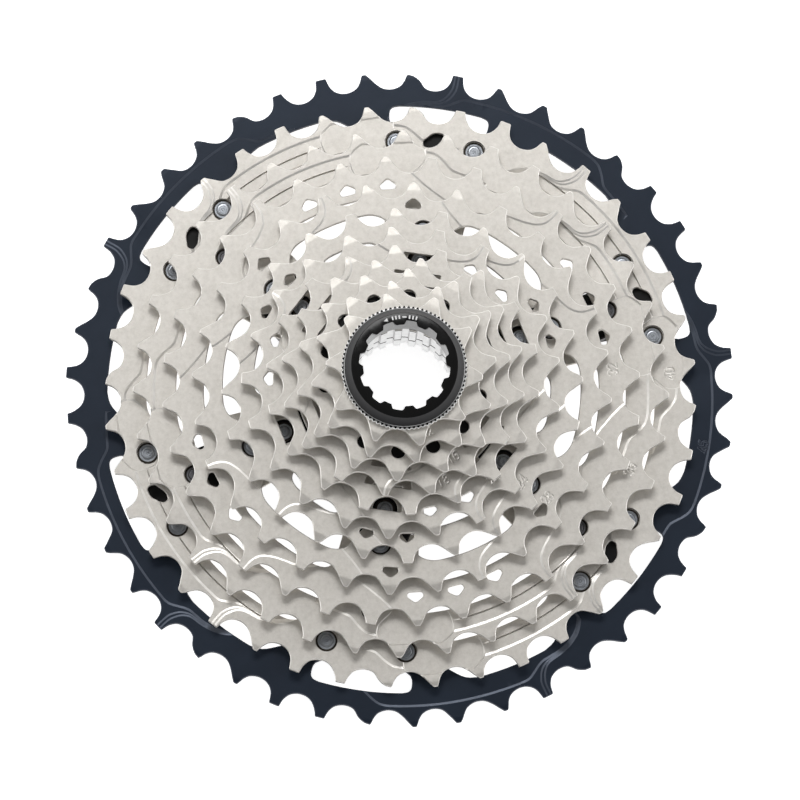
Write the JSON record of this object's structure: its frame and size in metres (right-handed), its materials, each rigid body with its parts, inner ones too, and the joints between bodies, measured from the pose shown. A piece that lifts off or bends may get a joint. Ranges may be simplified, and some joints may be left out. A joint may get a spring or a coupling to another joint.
{
  "type": "bicycle cassette",
  "caption": "Stack of toothed bicycle chain sprockets of falling size, riveted to two six-armed carriers, with spacers and a notched lock ring that unscrews.",
  "frame": {"origin": "on the axle, at the back face of the largest sprocket, on which the cassette lies", "axes": "+Z along the axle, from the largest sprocket to the lock ring; +Y is up in the picture's view"},
  "size_m": [0.1839, 0.184, 0.0464],
  "materials": {
    "nickel_plated_steel": "satin nickel plate",
    "navy_anodised": "satin dark navy anodising",
    "black_alloy": "satin black anodising",
    "rivet_steel": "turned bluish grey steel",
    "spacer_alloy": "dark anodised turned alloy",
    "lock_ring_black": "satin black face with a greyer bevel",
    "washer_steel": "bright knurled edge"
  },
  "bodies": {
    "sprocket_stack": {"sprocket_45t": "navy_anodised", "sprocket_40t": "nickel_plated_steel", "sprocket_36t": "nickel_plated_steel", "sprocket_32t": "nickel_plated_steel", "sprocket_28t": "nickel_plated_steel", "sprocket_24t": "nickel_plated_steel", "sprocket_21t": "nickel_plated_steel", "sprocket_18t": "nickel_plated_steel", "sprocket_16t": "nickel_plated_steel", "sprocket_14t": "nickel_plated_steel", "sprocket_12t": "nickel_plated_steel", "sprocket_10t": "nickel_plated_steel", "rear_carrier": "black_alloy", "front_carrier": "black_alloy", "spacer_21t_18t": "spacer_alloy", "spacer_18t_16t": "spacer_alloy", "spacer_16t_14t": "spacer_alloy", "spacer_14t_12t": "spacer_alloy", "rivet_40t_1a": "rivet_steel", "rivet_40t_1b": "rivet_steel", "rivet_36t_1": "rivet_steel", "rivet_28t_1": "rivet_steel", "rivet_24t_1": "rivet_steel", "rivet_40t_2a": "rivet_steel", "rivet_40t_2b": "rivet_steel", "rivet_36t_2": "rivet_steel", "rivet_28t_2": "rivet_steel", "rivet_24t_2": "rivet_steel", "rivet_40t_3a": "rivet_steel", "rivet_40t_3b": "rivet_steel", "rivet_36t_3": "rivet_steel", "rivet_28t_3": "rivet_steel", "rivet_24t_3": "rivet_steel", "rivet_40t_4a": "rivet_steel", "rivet_40t_4b": "rivet_steel", "rivet_36t_4": "rivet_steel", "rivet_28t_4": "rivet_steel", "rivet_24t_4": "rivet_steel", "rivet_40t_5a": "rivet_steel", "rivet_40t_5b": "rivet_steel", "rivet_36t_5": "rivet_steel", "rivet_28t_5": "rivet_steel", "rivet_24t_5": "rivet_steel", "rivet_40t_6a": "rivet_steel", "rivet_40t_6b": "rivet_steel", "rivet_36t_6": "rivet_steel", "rivet_28t_6": "rivet_steel", "rivet_24t_6": "rivet_steel"},
    "washer": {"lock_ring_washer": "washer_steel"},
    "lock_ring": {"lock_ring": "lock_ring_black"}
  },
  "joints": [
    {"name": "lock_ring_travel", "type": "slide", "parent": "sprocket_stack", "child": "washer", "axis": [0, 0, 1], "range_m": [0, 0.005]},
    {"name": "lock_ring_turn", "type": "hinge", "parent": "washer", "child": "lock_ring", "pos_m": [0, 0, 0.044], "axis": [0, 0, 1], "range_deg": [0, 1800]}
  ],
  "couplings": [
    {"joint": "lock_ring_travel", "follows": "lock_ring_turn", "m_per_rad": 0.000159}
  ]
}
